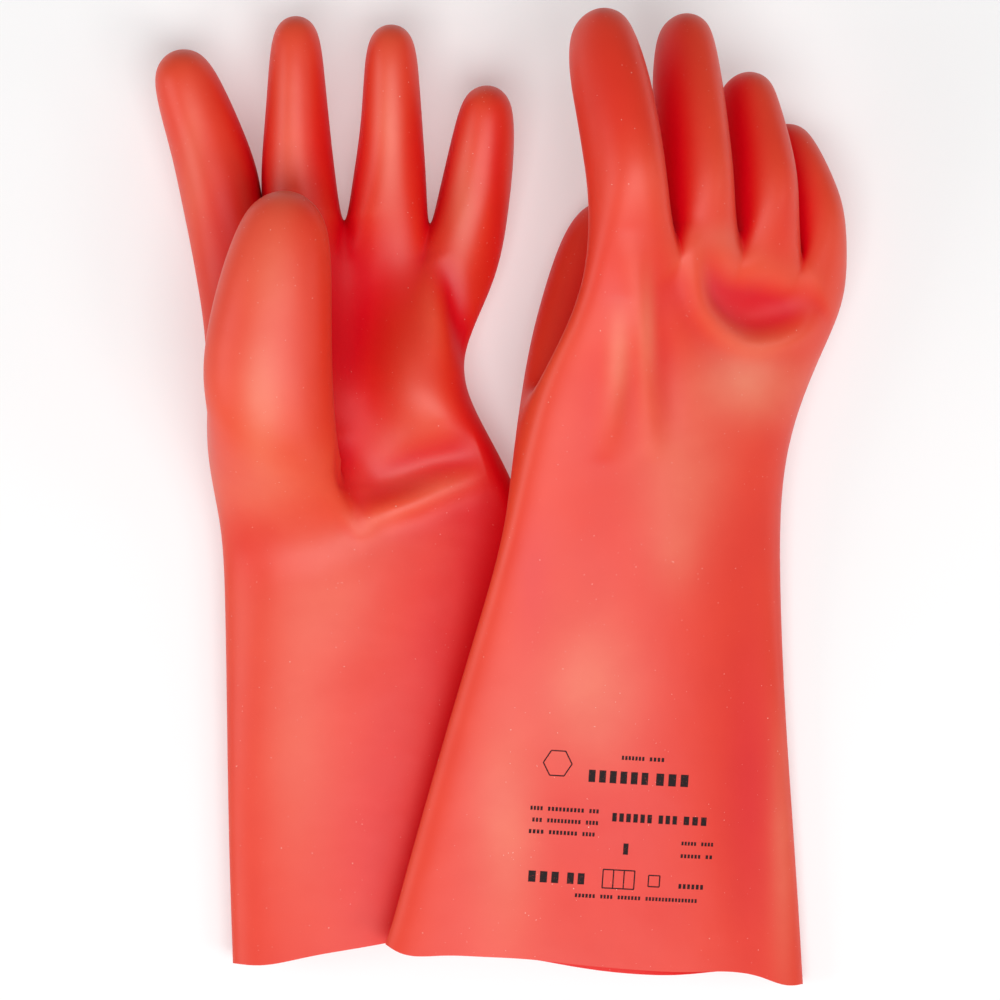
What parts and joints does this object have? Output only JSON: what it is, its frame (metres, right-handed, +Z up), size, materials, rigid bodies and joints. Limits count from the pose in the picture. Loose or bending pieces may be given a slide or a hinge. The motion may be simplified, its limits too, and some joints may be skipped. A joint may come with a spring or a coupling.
{
  "type": "electrical insulating gloves",
  "caption": "Pair of long dipped rubber gloves with straight gauntlets, laid palm up and palm down; the digits flex and the upper glove lifts off.",
  "frame": {"origin": "centre of the pair's footprint on the table under it, at z = 0", "axes": "+Y from the cuffs to the fingertips, +X from the left glove to the right glove, +Z up from the table"},
  "size_m": [0.2616, 0.3663, 0.0927],
  "materials": {
    "left_hand_rubber": "satin natural rubber, orange red",
    "left_index_rubber": "satin natural rubber, orange red",
    "left_middle_rubber": "satin natural rubber, orange red",
    "left_ring_rubber": "satin natural rubber, orange red",
    "left_little_rubber": "satin natural rubber, orange red",
    "left_thumb_rubber": "satin natural rubber, orange red",
    "right_hand_rubber": "satin natural rubber, orange red",
    "right_index_rubber": "satin natural rubber, orange red",
    "right_middle_rubber": "satin natural rubber, orange red",
    "right_ring_rubber": "satin natural rubber, orange red",
    "right_little_rubber": "satin natural rubber, orange red",
    "right_thumb_rubber": "satin natural rubber, orange red"
  },
  "bodies": {
    "left_hand": {"left_hand": "left_hand_rubber"},
    "left_index": {"left_index": "left_index_rubber"},
    "left_middle": {"left_middle": "left_middle_rubber"},
    "left_ring": {"left_ring": "left_ring_rubber"},
    "left_little": {"left_little": "left_little_rubber"},
    "left_thumb": {"left_thumb": "left_thumb_rubber"},
    "right_hand": {"right_hand": "right_hand_rubber"},
    "right_index": {"right_index": "right_index_rubber"},
    "right_middle": {"right_middle": "right_middle_rubber"},
    "right_ring": {"right_ring": "right_ring_rubber"},
    "right_little": {"right_little": "right_little_rubber"},
    "right_thumb": {"right_thumb": "right_thumb_rubber"}
  },
  "joints": [
    {"name": "right_glove_lift", "type": "slide", "parent": "left_hand", "child": "right_hand", "axis": [0, 0, 1], "range_m": [0, 0.15]},
    {"name": "left_index_flex", "type": "hinge", "parent": "left_hand", "child": "left_index", "pos_m": [-0.1104, 0.1226, 0.0318], "axis": [0.9475, 0.2431, 0.2078], "range_deg": [0, 50], "stiffness_Nm_per_rad": 0.15},
    {"name": "left_middle_flex", "type": "hinge", "parent": "left_hand", "child": "left_middle", "pos_m": [-0.078, 0.1259, 0.0333], "axis": [0.9977, -0.0151, 0.0663], "range_deg": [0, 50], "stiffness_Nm_per_rad": 0.15},
    {"name": "left_ring_flex", "type": "hinge", "parent": "left_hand", "child": "left_ring", "pos_m": [-0.0416, 0.1245, 0.0334], "axis": [0.9989, -0.0458, -0.0137], "range_deg": [0, 50], "stiffness_Nm_per_rad": 0.15},
    {"name": "left_little_flex", "type": "hinge", "parent": "left_hand", "child": "left_little", "pos_m": [-0.0071, 0.1164, 0.0295], "axis": [0.9777, -0.1179, -0.1739], "range_deg": [0, 50], "stiffness_Nm_per_rad": 0.15},
    {"name": "left_thumb_flex", "type": "hinge", "parent": "left_hand", "child": "left_thumb", "pos_m": [-0.0861, 0.0456, 0.0684], "axis": [0.9999, -0.0141, -0.0035], "range_deg": [0, 35], "stiffness_Nm_per_rad": 0.15},
    {"name": "right_index_flex", "type": "hinge", "parent": "right_hand", "child": "right_index", "pos_m": [0.0354, 0.1204, 0.0642], "axis": [-0.7881, -0.098, 0.6076], "range_deg": [0, 45], "stiffness_Nm_per_rad": 0.15},
    {"name": "right_middle_flex", "type": "hinge", "parent": "right_hand", "child": "right_middle", "pos_m": [0.0627, 0.1206, 0.0455], "axis": [-0.8178, -0.0141, 0.5753], "range_deg": [0, 35], "stiffness_Nm_per_rad": 0.15},
    {"name": "right_ring_flex", "type": "hinge", "parent": "right_hand", "child": "right_ring", "pos_m": [0.0891, 0.1146, 0.0293], "axis": [-0.8177, -0.0123, 0.5755], "range_deg": [0, 22], "stiffness_Nm_per_rad": 0.15},
    {"name": "right_little_flex", "type": "hinge", "parent": "right_hand", "child": "right_little", "pos_m": [0.1071, 0.1036, 0.0096], "axis": [-0.7401, -0.1085, 0.6637], "range_deg": [0, 10], "stiffness_Nm_per_rad": 0.15},
    {"name": "right_thumb_flex", "type": "hinge", "parent": "right_hand", "child": "right_thumb", "pos_m": [0.0286, 0.0586, 0.0378], "axis": [0.9923, -0.1169, 0.04], "range_deg": [0, 20], "stiffness_Nm_per_rad": 0.15}
  ]
}
